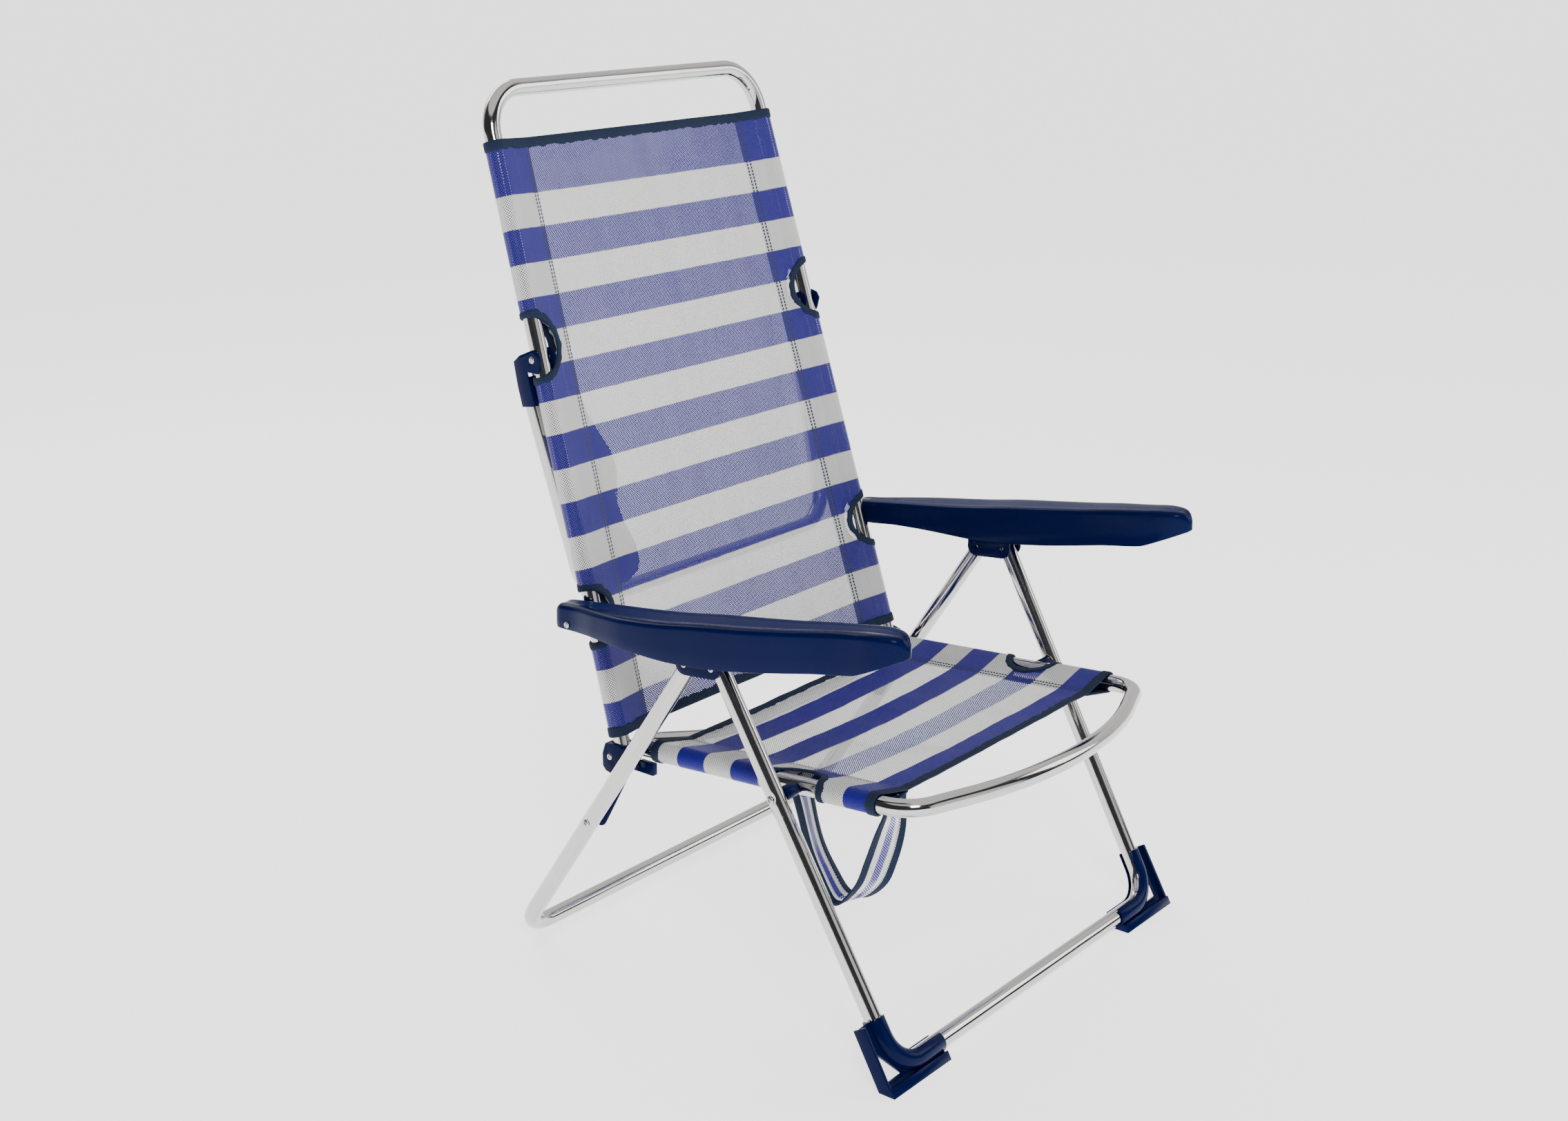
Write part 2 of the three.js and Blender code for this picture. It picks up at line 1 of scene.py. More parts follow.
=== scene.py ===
"""Looks of a folding high-back beach chair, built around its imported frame.

Blender's units are metres, with +Z up and the sitter facing -Y. Sizes here are millimetres in the
chair's own frame, and P() turns them into Blender's.
"""
import math

import bmesh
import bpy
import numpy as np
from mathutils import Matrix, Vector, geometry, noise


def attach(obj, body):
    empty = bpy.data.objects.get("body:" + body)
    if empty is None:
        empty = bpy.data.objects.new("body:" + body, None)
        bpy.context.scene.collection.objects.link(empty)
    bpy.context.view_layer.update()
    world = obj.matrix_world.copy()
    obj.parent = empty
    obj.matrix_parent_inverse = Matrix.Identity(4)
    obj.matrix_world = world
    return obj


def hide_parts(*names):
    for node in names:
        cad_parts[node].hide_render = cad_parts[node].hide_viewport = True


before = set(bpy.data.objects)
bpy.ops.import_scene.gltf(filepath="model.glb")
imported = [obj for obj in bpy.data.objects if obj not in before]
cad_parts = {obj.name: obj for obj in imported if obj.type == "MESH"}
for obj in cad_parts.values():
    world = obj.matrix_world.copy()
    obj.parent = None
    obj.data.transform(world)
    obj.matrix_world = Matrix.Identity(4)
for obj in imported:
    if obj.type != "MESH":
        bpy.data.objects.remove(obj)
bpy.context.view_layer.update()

# ---------------------------------------------------------------- sizes, in millimetres
SHIFT = 92.0
TUBE_R = 10.0
TUBE_WALL = 1.3
SIDES = (("left", 1), ("right", -1))

SEAT_HALF = 232.6
SEAT_FRONT_Y, SEAT_FRONT_Z = -323.7, 295.0
SEAT_REAR_Y, SEAT_REAR_Z = -13.6, 273.6
SEAT_REAR_DIP = 14.0
SEAT_HOLE_Y = -217.0

BACK_TOP, BACK_BOT = Vector((0, 219.92, 937.73)), Vector((0, 26.59, 290.65))
BACK_TOP_HALF, BACK_BOT_HALF = 230.0, 253.0
BACK_UP = (BACK_TOP - BACK_BOT).normalized()
BACK_LEN = (BACK_TOP - BACK_BOT).length

# each leg's axis: (y, z) of a point on it, its slope dy/dz, half widths at its crossbar and its top,
# and the heights of those two
FRONT_LEG = (-365.6, 30, 0.5698, 264.4, 277.8, 14.2, 419.7)
REAR_LEG = (-105.2, 416.1, -0.6663, 286, 277.6, 10, 416.1)

CLOTH_THICK = 0.8
TAPE_WIDTH, OVAL_TAPE_WIDTH = 10.0, 7.0
TAPE_PUCKER, OVAL_TAPE_PUCKER = 0.25, 0.4

# the flat cloth, in metres: stitch rows beside a seam, the weave's repeat, and a place past any edge
SEAM_ROWS = (0.002, 0.007)
WEAVE = 0.0031
NOWHERE = 9.0


def P(x, y, z):
    """A point given in the chair's own millimetres, in the row frame."""
    return Vector((x, y + SHIFT, z)) / 1000.0


# ---------------------------------------------------------------- node helpers
class Graph:
    """Short calls for building the nodes of a material, or of a world."""

    def __init__(self, name, world=None):
        self.mat = world or bpy.data.materials.new(name)
        self.mat.use_nodes = True
        self.tree = self.mat.node_tree
        self.bsdf = self.tree.nodes.get("Principled BSDF")

    def node(self, kind, **values):
        n = self.tree.nodes.new(kind)
        for key, value in values.items():
            setattr(n, key, value)
        return n

    def link(self, source, target):
        if isinstance(source, (int, float)):
            target.default_value = source
        elif isinstance(source, tuple):
            target.default_value = source if len(source) == 4 else (*source, 1.0)
        else:
            self.tree.links.new(source, target)

    def math(self, op, a, b=0.0, c=0.0, clamp=False):
        n = self.node("ShaderNodeMath", operation=op, use_clamp=clamp)
        for socket, value in zip(n.inputs, (a, b, c)):
            self.link(value, socket)
        return n.outputs[0]

    def mix(self, factor, a, b):
        n = self.node("ShaderNodeMix", data_type="RGBA")
        self.link(factor, n.inputs[0])
        self.link(a, n.inputs[6])
        self.link(b, n.inputs[7])
        return n.outputs[2]

    def step(self, value, low, high, to_low=0.0, to_high=1.0):
        n = self.node("ShaderNodeMapRange", interpolation_type="SMOOTHSTEP")
        for socket, v in zip(n.inputs, (value, low, high, to_low, to_high)):
            self.link(v, socket)
        return n.outputs[0]

    def noise(self, vector, scale, detail=3.0, rough=0.55):
        n = self.node("ShaderNodeTexNoise")
        n.inputs["Scale"].default_value = scale
        n.inputs["Detail"].default_value = detail
        n.inputs["Roughness"].default_value = rough
        self.link(vector, n.inputs["Vector"])
        return n.outputs[0]

    def position(self):
        return self.node("ShaderNodeTexCoord").outputs["Object"]

    def uv(self):
        return self.node("ShaderNodeUVMap", uv_map="flat").outputs[0]

    def split(self, vector):
        n = self.node("ShaderNodeSeparateXYZ")
        self.link(vector, n.inputs[0])
        return n.outputs[0], n.outputs[1], n.outputs[2]

    def join(self, x, y, z=0.0):
        n = self.node("ShaderNodeCombineXYZ")
        for socket, value in zip(n.inputs, (x, y, z)):
            self.link(value, socket)
        return n.outputs[0]

    def bump(self, height, distance, strength=1.0):
        n = self.node("ShaderNodeBump")
        n.inputs["Distance"].default_value = distance
        n.inputs["Strength"].default_value = strength
        self.link(height, n.inputs["Height"])
        return n.outputs[0]

    def set(self, **values):
        for key, value in values.items():
            self.link(value, self.bsdf.inputs[key.replace("_", " ")])


def aluminium():
    """Bare polished tube: draw marks along it, a faint cloud and a few scuffs."""
    g = Graph("polished_aluminium")
    u, v, _ = g.split(g.uv())
    drawn = g.join(g.math("MULTIPLY", u, 900.0), g.math("MULTIPLY", v, 9.0))
    streak = g.noise(drawn, 1.0, 4.0)
    cloud = g.noise(g.position(), 14.0, 3.0)
    scuff = g.step(g.noise(g.position(), 160.0, 5.0, 0.7), 0.58, 0.74)
    tone = g.mix(streak, (0.40, 0.392, 0.388), (0.62, 0.605, 0.592))
    tone = g.mix(g.math("MULTIPLY", scuff, 0.35), tone, (0.62, 0.62, 0.62))
    rough = g.math("ADD", g.math("MULTIPLY", cloud, 0.07), g.math("MULTIPLY", streak, 0.07))
    rough = g.math("ADD", rough, g.math("MULTIPLY", scuff, 0.10))
    g.set(Base_Color=tone, Metallic=1.0, Roughness=g.math("ADD", rough, 0.03),
          Normal=g.bump(streak, 0.00008, 0.5))
    return g.mat


def rivet_steel():
    """Plated rivet heads, darker than the tube round them."""
    g = Graph("rivet_steel")
    cloud = g.noise(g.position(), 420.0, 4.0)
    g.set(Base_Color=g.mix(cloud, (0.28, 0.29, 0.30), (0.62, 0.62, 0.61)), Metallic=1.0,
          Roughness=g.math("MULTIPLY_ADD", cloud, 0.2, 0.15), Normal=g.bump(cloud, 0.0001, 0.4))
    return g.mat


def navy_plastic(name, shade=1.0, gloss=0.13):
    """Moulded navy plastic with a fine grain and pale scuffs."""
    g = Graph(name)
    cloud = g.noise(g.position(), 9.0, 3.0)
    grain = g.noise(g.position(), 1900.0, 2.0)
    scuff = g.step(g.noise(g.position(), 95.0, 6.0, 0.75), 0.60, 0.78)
    # shade scales the colour; above 1, as on the armrest tops, the lighter colour is painted sheen
    low = tuple(c * shade for c in (0.0005, 0.0036, 0.037))
    high = tuple(c * shade for c in (0.0009, 0.0050, 0.052))
    tone = g.mix(cloud, low, high)
    tone = g.mix(g.math("MULTIPLY", scuff, 0.18), tone, (0.010, 0.022, 0.085))
    rough = g.math("ADD", g.math("MULTIPLY", cloud, 0.10), g.math("MULTIPLY", scuff, 0.14))
    g.set(Base_Color=tone, Roughness=g.math("ADD", rough, gloss),
          Normal=g.bump(grain, 0.00012, 0.35))
    g.bsdf.inputs["Specular IOR Level"].default_value = 0.06
    return g.mat


def binding_tape():
    """Navy twill tape: slanted ribs 1.3 mm apart."""
    g = Graph("navy_binding")
    u, v, _ = g.split(g.uv())
    slant = g.math("ADD", u, g.math("MULTIPLY", v, 0.6))
    rib = g.math("SINE", g.math("MULTIPLY", slant, 6283.0 / 1.3))
    cloud = g.noise(g.position(), 70.0, 4.0)
    share = g.math("MULTIPLY_ADD", rib, 0.5, 0.5)
    tone = g.mix(share, (0.0036, 0.0085, 0.024), (0.0095, 0.021, 0.055))
    tone = g.mix(g.math("MULTIPLY", cloud, 0.5), tone, (0.013, 0.028, 0.068))
    height = g.math("ADD", g.math("MULTIPLY", rib, 0.5), cloud)
    g.set(Base_Color=tone, Roughness=g.math("MULTIPLY_ADD", cloud, 0.15, 0.68),
          Normal=g.bump(height, 0.0005, 0.6))
    g.bsdf.inputs["Specular IOR Level"].default_value = 0.2
    return g.mat


def mesh_cloth(name, first, pitch, inner, closed_bands=(), seam=None, openness=0.20, dense=0.50,
               gloss=0.45):
    """Open woven mesh with crosswise stripes.

    The UV is the flat cloth in metres. Stripes run across v: the first is blue and first wide, and the
    rest are pitch wide. The holes nearly close in closed_bands and where |u| is past inner, under the
    sleeves. Two rows of stitches lie beside seam.
    """
    g = Graph(name)
    u, v, _ = g.split(g.uv())
    wob = g.noise(g.uv(), 60.0, 2.0)
    vv = g.math("ADD", v, g.math("MULTIPLY_ADD", wob, 0.0012, -0.0006))
    turns = g.math("DIVIDE", g.math("SUBTRACT", vv, first), 2.0 * pitch)
    cycle = g.math("FRACT", g.math("ADD", turns, 4.0))
    white = g.math("MULTIPLY", g.math("GREATER_THAN", vv, first), g.math("LESS_THAN", cycle, 0.5))
    phase = g.math("FRACT", g.math("MULTIPLY", turns, 2.0))
    edge = g.step(g.math("ABSOLUTE", g.math("SUBTRACT", phase, 0.5)), 0.482, 0.494)
    au = g.math("ABSOLUTE", u)
    # woven cells: every other row is moved by half a cell
    k = 2.0 * math.pi / WEAVE
    su = g.math("SINE", g.math("MULTIPLY", u, k))
    sv = g.math("SINE", g.math("MULTIPLY", v, k))
    cell = g.math("MULTIPLY", su, sv)
    strands = g.join(g.math("MULTIPLY", u, 2200.0), g.math("MULTIPLY", v, 350.0))
    yarn = g.noise(strands, 1.0, 2.0)
    closed = g.math("GREATER_THAN", au, inner)
    for low, high in closed_bands:
        inside = g.math("MULTIPLY", g.math("GREATER_THAN", vv, low), g.math("LESS_THAN", vv, high))
        closed = g.math("MAXIMUM", closed, inside)
    limit = g.math("ADD", openness, g.math("MULTIPLY", closed, dense))
    hole = g.math("GREATER_THAN", cell, limit)
    # painted shade: the yarn darkens towards each hole, standing in for the yarns' shadow on one another
    painted_yarn_shade = g.step(cell, -0.05, 0.3)
    blue_tone = g.mix(painted_yarn_shade, (0.010, 0.006, 0.215), (0.003, 0.002, 0.07))
    blue_tone = g.mix(g.math("MULTIPLY", yarn, 0.40), blue_tone, (0.040, 0.022, 0.40))
    white_tone = g.mix(painted_yarn_shade, (0.80, 0.80, 0.79), (0.04, 0.04, 0.045))
    white_tone = g.mix(g.math("MULTIPLY", yarn, 0.25), white_tone, (0.93, 0.93, 0.92))
    tone = g.mix(white, blue_tone, white_tone)
    tone = g.mix(g.math("MULTIPLY", edge, 0.55), tone, (0.03, 0.04, 0.14))
    stitched = 0.0
    for row in SEAM_ROWS if seam else ():
        beside = g.math("ABSOLUTE", g.math("SUBTRACT", au, seam + row))
        dash = g.math("LESS_THAN", g.math("FRACT", g.math("DIVIDE", v, 0.0042)), 0.72)
        thread = g.math("MULTIPLY", g.math("LESS_THAN", beside, 0.0012), dash)
        stitched = g.math("MAXIMUM", stitched, thread)
    tone = g.mix(stitched, tone, (0.012, 0.018, 0.05))
    alpha = g.math("MAXIMUM", g.math("SUBTRACT", 1.0, hole), stitched)
    height = g.math("ADD", g.math("MULTIPLY", cell, -0.5), g.math("MULTIPLY", yarn, 0.4))
    g.set(Base_Color=tone, Alpha=alpha, Roughness=g.math("MULTIPLY_ADD", yarn, 0.15, 0.30),
          Normal=g.bump(height, 0.0006, 0.7))
    g.bsdf.inputs["Specular IOR Level"].default_value = gloss
    return g.mat


# ---------------------------------------------------------------- mesh helpers
def make(name, verts, faces, mat, uvs=None, smooth=True):
    mesh = bpy.data.meshes.new(name)
    mesh.from_pydata([tuple(v) for v in verts], [], [tuple(f) for f in faces])
    if uvs is not None:
        layer = mesh.uv_layers.new(name="flat")
        loops = np.empty(len(mesh.loops), np.int32)
        mesh.loops.foreach_get("vertex_index", loops)
        layer.data.foreach_set("uv", np.asarray(uvs, np.float32)[loops].ravel())
    mesh.materials.append(mat)
    mesh.validate()
    if smooth:
        mesh.shade_smooth()
    obj = bpy.data.objects.new(name, mesh)
    bpy.context.scene.collection.objects.link(obj)
    return obj


def fix_normals(obj):
    bm = bmesh.new()
    bm.from_mesh(obj.data)
    bmesh.ops.recalc_face_normals(bm, faces=bm.faces)
    bm.to_mesh(obj.data)
    bm.free()


def apply_modifiers(obj):
    graph = bpy.context.evaluated_depsgraph_get()
    graph.update()
    mesh = bpy.data.meshes.new_from_object(obj.evaluated_get(graph))
    obj.modifiers.clear()
    old = obj.data
    obj.data = mesh
    bpy.data.meshes.remove(old)


def smooth_by_angle(obj, degrees):
    """Smooth shading, with edges sharper than this kept hard."""
    obj.data.shade_smooth()
    obj.data.set_sharp_from_angle(angle=math.radians(degrees))


def piece(obj, body, slot, *nodes):
    """The piece rides on the body and stands for the CAD nodes, which it hides. slot is not used."""
    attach(obj, body)
    if nodes:
        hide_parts(*nodes)


def rounded(corners, radii, steps=12):
    """An open polyline's points with its corners rounded, in millimetres."""
    corners = [Vector(c) for c in corners]
    points = [corners[0]]
    for i in range(1, len(corners) - 1):
        a = (corners[i - 1] - corners[i]).normalized()
        b = (corners[i + 1] - corners[i]).normalized()
        half = a.angle(b) / 2
        reach = radii[i - 1] / math.tan(half)
        centre = (a + b).normalized() * (radii[i - 1] / math.sin(half))
        start, end, turn = a * reach - centre, b * reach - centre, math.pi - 2 * half
        for k in range(steps + 1):
            t = k / steps
            arm = start * (math.sin((1 - t) * turn) / math.sin(turn))
            arm += end * (math.sin(t * turn) / math.sin(turn))
            points.append(corners[i] + centre + arm)
    return points + [corners[-1]]


def densify(points, gap, spots=()):
    """Adds points so that none are further apart than gap, or 2 mm near a spot."""
    out = [points[0]]
    for a, b in zip(points, points[1:]):
        length = (b - a).length
        count = max(1, math.ceil(length / gap))
        ts = {k / count for k in range(1, count + 1)}
        for s in spots:
            t0 = (s - a).dot(b - a) / max(length * length, 1e-9)
            if -0.1 < t0 < 1.1 and (a + (b - a) * t0 - s).length < 12:
                ts |= {min(max(t0 + k * 2.0 / length, 1e-4), 1.0) for k in range(-8, 9)}
        out += [a + (b - a) * t for t in sorted(ts)]
    return out


def dimpled(q, out, dimples):
    """The skin point q, which faces out, pressed in by any dimple near it."""
    for centre, way, depth, spread in dimples:
        way = Vector(way)
        facing = max(0.0, out.dot(way))
        off = q - Vector(centre)
        dist = (off - way * off.dot(way)).length
        if facing > 0.05 and dist < spread:
            press = 0.5 + 0.5 * math.cos(math.pi * dist / spread)
            q = q - way * depth * press * min(1.0, facing * 2)
    return q


def tube(name, points, mat, radius=TUBE_R, sides=32, wall=TUBE_WALL, dimples=()):
    """A hollow round tube along points. Dimples are (point, direction, depth, radius)."""
    points = densify([Vector(p) for p in points], 14.0, [Vector(d[0]) for d in dimples])
    tangents = []
    for i in range(len(points)):
        back = points[i] - points[i - 1] if i else points[1] - points[0]
        ahead = points[i + 1] - points[i] if i < len(points) - 1 else back
        tangents.append((back.normalized() + ahead.normalized()).normalized())
    side = tangents[0].orthogonal().normalized()
    rings, uvs, along = [], [], 0.0
    for i, (p, t) in enumerate(zip(points, tangents)):
        if i:
            side = (tangents[i - 1].rotation_difference(t) @ side).normalized()
            along += (p - points[i - 1]).length
        other = t.cross(side)
        ring = []
        for k in range(sides):
            a = 2 * math.pi * k / sides
            out = side * math.cos(a) + other * math.sin(a)
            ring.append(dimpled(p + out * radius, out, dimples))
            uvs.append((k / sides * 2 * math.pi * radius / 1000, along / 1000))
        rings.append(ring)
    verts = [P(*v) for ring in rings for v in ring]
    n, m = sides, len(rings)
    faces = [(i * n + k, i * n + (k + 1) % n, (i + 1) * n + (k + 1) % n, (i + 1) * n + k)
             for i in range(m - 1) for k in range(n)]
    for row, p, t, sign in ((0, points[0], tangents[0], 1), (m - 1, points[-1], tangents[-1], -1)):
        lip, deep = len(verts), len(verts) + n
        for depth in (0.0, 16.0):
            for k in range(n):
                edge = rings[row][k] - p
                verts.append(P(*(p + edge * (1 - wall / radius) + t * sign * depth)))
                uvs.append(uvs[row * n + k])
        for k in range(n):
            a, b = row * n + k, row * n + (k + 1) % n
            c, d = lip + (k + 1) % n, lip + k
            e, f = deep + (k + 1) % n, deep + k
            faces.append((b, a, d, c) if sign > 0 else (a, b, c, d))
            faces.append((c, d, f, e) if sign > 0 else (d, c, e, f))
        faces.append(tuple(deep + k for k in range(n))[::-1 if sign > 0 else 1])
    obj = make(name, verts, faces, mat, uvs)
    smooth_by_angle(obj, 50)
    return obj


def refined(node, mat, body, slot, bevel=0.8, segments=2):
    """A finished copy of a CAD node: flats merged, edges rounded, shading smoothed."""
    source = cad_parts[node]
    obj = bpy.data.objects.new("fine_" + node, source.data.copy())
    bpy.context.scene.collection.objects.link(obj)
    obj.data.materials.clear()
    obj.data.materials.append(mat)
    bm = bmesh.new()
    bm.from_mesh(obj.data)
    bmesh.ops.remove_doubles(bm, verts=bm.verts, dist=2e-6)
    bmesh.ops.dissolve_limit(bm, angle_limit=math.radians(1.5), verts=bm.verts, edges=bm.edges)
    bmesh.ops.recalc_face_normals(bm, faces=bm.faces)
    bm.to_mesh(obj.data)
    bm.free()
    if bevel:
        mod = obj.modifiers.new("bevel", "BEVEL")
        mod.width, mod.segments, mod.limit_method = bevel / 1000, segments, "ANGLE"
        mod.angle_limit = math.radians(38)
        mod.use_clamp_overlap = True
        apply_modifiers(obj)
    smooth_by_angle(obj, 42)
    piece(obj, body, slot, node)


def lathe_x(name, profile, centre, sign, mat, sides=28):
    """Turns (radius, height) pairs about an axis along X. Heights grow outward."""
    verts, faces = [], []
    cx, cy, cz = centre
    for r, h in profile:
        for k in range(sides):
            a = 2 * math.pi * k / sides
            verts.append(P(cx + sign * h, cy + r * math.cos(a), cz + r * math.sin(a)))
    m = len(profile)
    for i in range(m - 1):
        for k in range(sides):
            quad = (i * sides + k, i * sides + (k + 1) % sides, (i + 1) * sides + (k + 1) % sides,
                    (i + 1) * sides + k)
            faces.append(quad if sign > 0 else quad[::-1])
    first, last = tuple(range(sides)), tuple(range((m - 1) * sides, m * sides))
    faces.append(first[::-1] if sign > 0 else first)
    faces.append(last if sign > 0 else last[::-1])
    obj = make(name, verts, faces, mat)
    smooth_by_angle(obj, 35)
    return obj


# ---------------------------------------------------------------- cloth panels
class Panel:
    """A mesh cloth wrapped round two tubes.

    (q, v) is a place on the flat cloth, q across from its middle and v along it. start and end are half
    the gap between the tubes' axes at v = 0 and at v = length. flap lists how far the under layer's raw
    edge runs past the seam on the -X side, as (share of length, reach).
    """

    RADIUS = 11.5
    SEAM = 50.0
    UNDER = 1.3

    def __init__(self, origin, along, front, start, end, length, sag, seed, ripple, flap=()):
        self.origin, self.along, self.front = Vector(origin), Vector(along), Vector(front)
        self.start, self.end, self.length = start, end, length
        self.sag, self.seed, self.ripple, self.flap = sag, seed, ripple, flap
        self.phi = math.acos(self.RADIUS / self.SEAM)
        self.slope = math.sqrt(self.SEAM**2 - self.RADIUS**2)
        self.arc = self.RADIUS * 2 * (math.pi - self.phi)
        self.mid = (start + end) / 2 - self.SEAM
        self.reach = self.mid + 2 * self.slope + self.arc
        self.doubled = (self.mid + self.slope + self.arc) / 1000

    def extra(self, q, v):
        """The reach of the raw edge past the seam."""
        if q > 0 or not self.flap:
            return 0.0
        marks, reaches = zip(*self.flap)
        return float(np.interp(v / self.length, marks, reaches))

    def level(self, share, s, x, v):
        """Height of the single layer over the tubes' own plane."""
        bulge = (1 - share**2) * self.sag * math.sin(math.pi * min(max(v / self.length, 0), 1)) ** 0.7
        wave = noise.noise(Vector((s * x / 95, v / 60, self.seed))) * self.ripple
        wave += noise.noise(Vector((s * x / 26, v / 150, self.seed + 7))) * self.ripple * 0.5
        return -bulge + wave * min(1.0, (1 - share) * 6)

    def half(self, v):
        """Half the gap between the tubes' axes."""
        return self.start + (self.end - self.start) * v / self.length

    def at(self, q, v, off=0.0):
        """Where (q, v) lies on the chair, off above the cloth's middle.

        From the middle out, the cloth is one open layer, climbs the tube, goes round it, and comes back
        under itself to the seam.
        """
        s, a = (1.0 if q >= 0 else -1.0), abs(q)
        w = self.half(v)
        inner = w - self.SEAM
        phi, r = self.phi, self.RADIUS
        if a <= self.mid:
            share = a / self.mid
            x, n = share * inner, (0.0, 1.0)
            d = self.level(share, s, x, v)
        else:
            t = a - self.mid
            if t <= self.slope:
                k = t / self.slope
                x = inner + (w - r * math.cos(phi) - inner) * k
                d = r * math.sin(phi) * k
                n = (-math.cos(phi), math.sin(phi))
                ease = max(0.0, 1 - k * 5)
                n = (n[0] * (1 - ease), n[1] + ease * (1 - n[1]))
            elif t <= self.slope + self.arc:
                ang = (math.pi - phi) - (t - self.slope) / r
                n = (math.cos(ang), math.sin(ang))
                x, d = w + r * n[0], r * n[1]
            else:
                k = (t - self.slope - self.arc) / self.slope
                n = (-math.cos(phi), -math.sin(phi))
                x = (w - r * math.cos(phi)) * (1 - k) + inner * k
                d = -r * math.sin(phi) * (1 - k) - self.UNDER * k
                if k > 1:
                    n = (0.0, -1.0)
                    d = self.level(min(x / inner, 1.0), s, x, v) - self.UNDER - min(k - 1, 0.5)
        x, d = x + n[0] * off, d + n[1] * off
        return self.origin + self.along * v + self.front * d + Vector((s * x, 0, 0))

    def columns(self, gap):
        """Where the flat cloth's points lie across it: closer together round the tubes and at the folds."""
        count = round(2 * self.reach / gap)
        cols = [-self.reach + 2 * self.reach * k / count for k in range(count + 1)]
        cols += [-self.reach - 5.0 * k for k in range(1, 10) if self.flap]
        for s in (-1, 1):
            cols += [s * (self.mid + self.slope + self.arc * k / 14) for k in range(15)]
            cols += [s * self.mid, s * (self.mid + 3.0), s * (self.mid - 3.0)]
        cols = sorted(set(round(c, 3) for c in cols))
        return [c for i, c in enumerate(cols) if i == 0 or c - cols[i - 1] > 0.8 or c == cols[-1]]

    def cloth(self, name, mat, holes, thickness=CLOTH_THICK, gap=9.0, sides=56):
        """The cloth, with oval holes (v, half width, half length) over both tubes, and its flat area."""
        rows = [self.length * k / round(self.length / gap) for k in range(round(self.length / gap) + 1)]
        centre = self.mid + self.slope + self.arc / 2
        ovals = [(s * centre, v, a, b) for v, a, b in holes for s in (-1, 1)]

        def inside(q, v, grow):
            return any(((q - c) / (a + grow)) ** 2 + ((v - y) / (b + grow)) ** 2 < 1
                       for c, y, a, b in ovals)

        def past(q, v, grow):
            return abs(q) > self.reach + self.extra(q, v) + grow

        flat = [Vector((q, v)) for v in rows for q in self.columns(gap)
                if not inside(q, v, 2.0) and not past(q, v, 2.6)]
        edges = []
        for c, y, a, b in ovals:
            first = len(flat)
            turns = [2 * math.pi * k / sides for k in range(sides)]
            flat += [Vector((c + a * math.cos(t), y + b * math.sin(t))) for t in turns]
            edges += [(first + k, first + (k + 1) % sides) for k in range(sides)]
        verts, _, faces, *_ = geometry.delaunay_2d_cdt(flat, edges, [], 0, 1e-4)
        slack = 2.0 if self.flap else 0.01
        kept = []
        for f in faces:
            mid = sum((verts[i] for i in f), Vector((0, 0))) / len(f)
            if not inside(mid.x, mid.y, -0.05) and not past(mid.x, mid.y, slack):
                kept.append(f)
        used = sorted({i for f in kept for i in f})
        index = {old: new for new, old in enumerate(used)}
        points = [verts[i] for i in used]
        faces = [tuple(index[i] for i in f) for f in kept]
        area = sum(abs(geometry.area_tri(*(points[i].to_3d() for i in f))) for f in faces) / 1e6
        n = len(points)
        solid = [P(*self.at(p.x, p.y, o)) for o in (thickness / 2, -thickness / 2) for p in points]
        steps = dict.fromkeys(step for f in faces for step in zip(f, f[1:] + f[:1]))
        walls = [(b, a, a + n, b + n) for a, b in steps if (b, a) not in steps]
        skins = list(faces) + [tuple(i + n for i in reversed(f)) for f in faces]
        uvs = [(p.x / 1000, p.y / 1000) for p in points] * 2
        obj = make(name, solid, skins + walls, mat, uvs)
        fix_normals(obj)
        smooth_by_angle(obj, 60)
        return obj, area

    def tape(self, name, path, mat, closed, width, pucker):
        """Binding tape folded over the cloth's edge.

        path holds (q, v, dq, dv), where (dq, dv) points into the cloth.
        """
        section = [(-1.5, 0.0), (-1.0, 1.2), (0.6, 1.7), (width - 2.5, 1.6), (width - 0.4, 1.25),
                   (width, 0.5), (width - 0.2, -0.7), (width - 2.5, -1.15), (0.6, -1.2), (-1.0, -0.9)]
        verts, uvs, faces, along = [], [], [], 0.0
        n, m = len(section), len(path)
        for i, (q, v, dq, dv) in enumerate(path):
            if i:
                along += math.hypot(q - path[i - 1][0], v - path[i - 1][1])
            bump = 1 + pucker * noise.noise(Vector((along / 7.0, self.seed, 3.1)))
            lift = pucker * noise.noise(Vector((along / 9.0, self.seed + 5, 8.4)))
            for s, off in section:
                reach = s * bump if s > 2 else s
                high = off * (1 + 0.5 * abs(lift)) + lift * 0.4
                verts.append(P(*self.at(q + dq * reach, v + dv * reach, high)))
                uvs.append((along / 1000, s / 1000))
        last = m if closed else m - 1
        for i in range(last):
            j = (i + 1) % m
            for k in range(n):
                faces.append((i * n + k, j * n + k, j * n + (k + 1) % n, i * n + (k + 1) % n))
        if not closed:
            faces.append(tuple(range(n)))
            faces.append(tuple((m - 1) * n + k for k in range(n))[::-1])
        obj = make(name, verts, faces, mat, uvs)
        fix_normals(obj)
        smooth_by_angle(obj, 70)
        return obj

    def edge_path(self, v, inward, count=190):
        return [(-self.reach + 2 * self.reach * k / count, v, 0.0, inward) for k in range(count + 1)]

    def oval_path(self, side, v, a, b, count=84):
        centre = side * (self.mid + self.slope + self.arc / 2)
        path = []
        for k in range(count):
            t = 2 * math.pi * k / count
            dq, dv = math.cos(t) / a, math.sin(t) / b
            size = math.hypot(dq, dv)
            path.append((centre + a * math.cos(t), v + b * math.sin(t), dq / size, dv / size))
        return path


